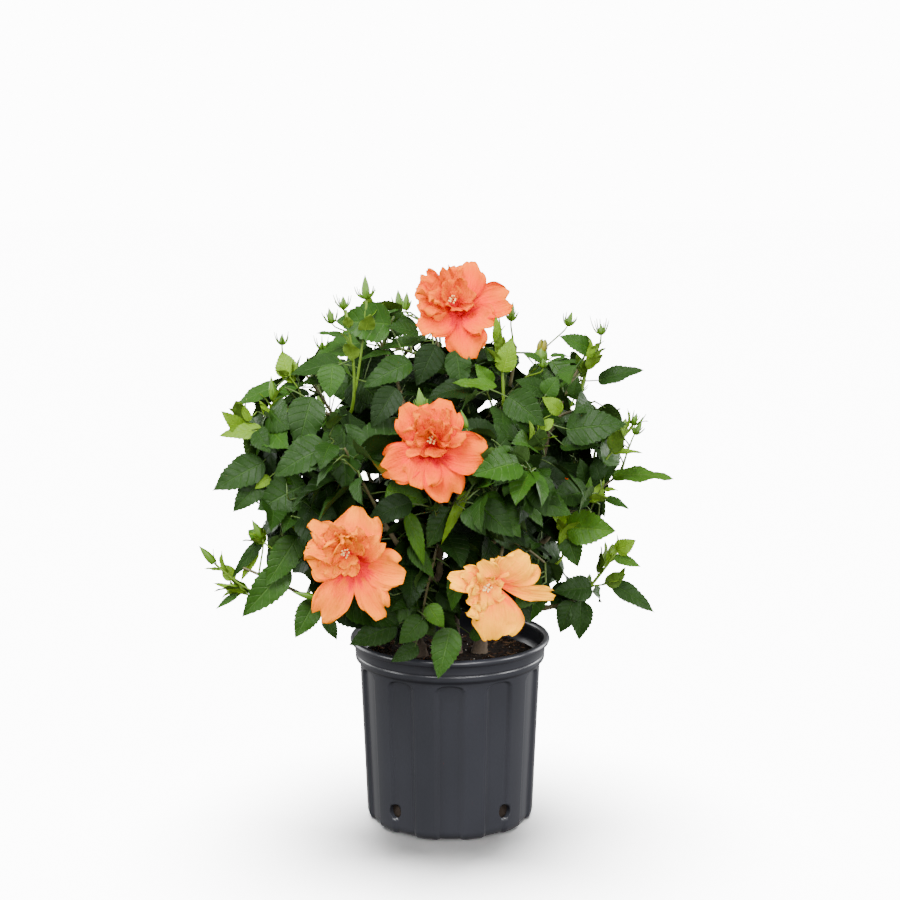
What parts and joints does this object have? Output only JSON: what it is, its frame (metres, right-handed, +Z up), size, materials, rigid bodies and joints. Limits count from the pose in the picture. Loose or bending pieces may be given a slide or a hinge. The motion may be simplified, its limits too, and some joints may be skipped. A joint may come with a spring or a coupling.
{
  "type": "potted hibiscus shrub",
  "caption": "Bushy hibiscus shrub with ruffled coral and peach blooms, glossy toothed leaves and woody stems, growing in a ribbed nursery pot.",
  "frame": {"origin": "centre of the pot's flat underside", "axes": "+Z up the plant, -Y towards the front that the picture shows, +X to the right in that view"},
  "size_m": [0.5924, 0.5029, 0.7118],
  "materials": {
    "pot_plastic": "charcoal blow-moulded plastic with a soft sheen",
    "potting_mix": "dark damp bark and peat mix with light specks",
    "bark": "thin grey-brown bark, finely cracked and mottled",
    "foliage": "glossy green leaves with paler undersides and veins",
    "petals": "thin coral to peach petals, veined and softly translucent"
  },
  "bodies": {
    "root": {"pot": "pot_plastic", "soil": "potting_mix", "stem_left": "bark", "stem_front": "bark", "stem_right": "bark", "stem_back": "bark", "stem_centre": "bark", "bough_low_left": "bark", "bough_left": "bark", "bough_left_upper": "bark", "bough_front_left": "bark", "bough_front": "bark", "bough_front_right": "bark", "bough_low_right": "bark", "bough_right": "bark", "bough_right_upper": "bark", "bough_back_left": "bark", "bough_back": "bark", "bough_back_right": "bark", "bough_top_left": "bark", "bough_top": "bark", "bough_top_right": "bark", "bough_top_back": "bark", "bloom_top": "petals", "bloom_middle": "petals", "bloom_low_left": "petals", "bloom_low_right": "petals", "bloom_back_left": "petals", "bloom_back_right": "petals", "leaves_low_left": "foliage", "leaves_rim_left": "foliage", "leaves_left": "foliage", "leaves_left_middle": "foliage", "leaves_left_upper": "foliage", "leaves_left_top": "foliage", "leaves_front_left": "foliage", "leaves_front_low": "foliage", "leaves_front": "foliage", "leaves_rim_front": "foliage", "leaves_front_right": "foliage", "leaves_rim_right": "foliage", "leaves_low_right": "foliage", "leaves_right": "foliage", "leaves_right_middle": "foliage", "leaves_right_upper": "foliage", "leaves_right_top": "foliage", "leaves_back_left_low": "foliage", "leaves_back_left_side": "foliage", "leaves_back_left": "foliage", "leaves_back": "foliage", "leaves_back_low": "foliage", "leaves_back_right": "foliage", "leaves_back_right_side": "foliage", "leaves_back_right_low": "foliage", "leaves_top_left": "foliage", "leaves_top": "foliage", "leaves_top_right": "foliage", "leaves_top_back_left": "foliage", "leaves_top_back_right": "foliage", "leaves_middle": "foliage"}
  },
  "joints": []
}
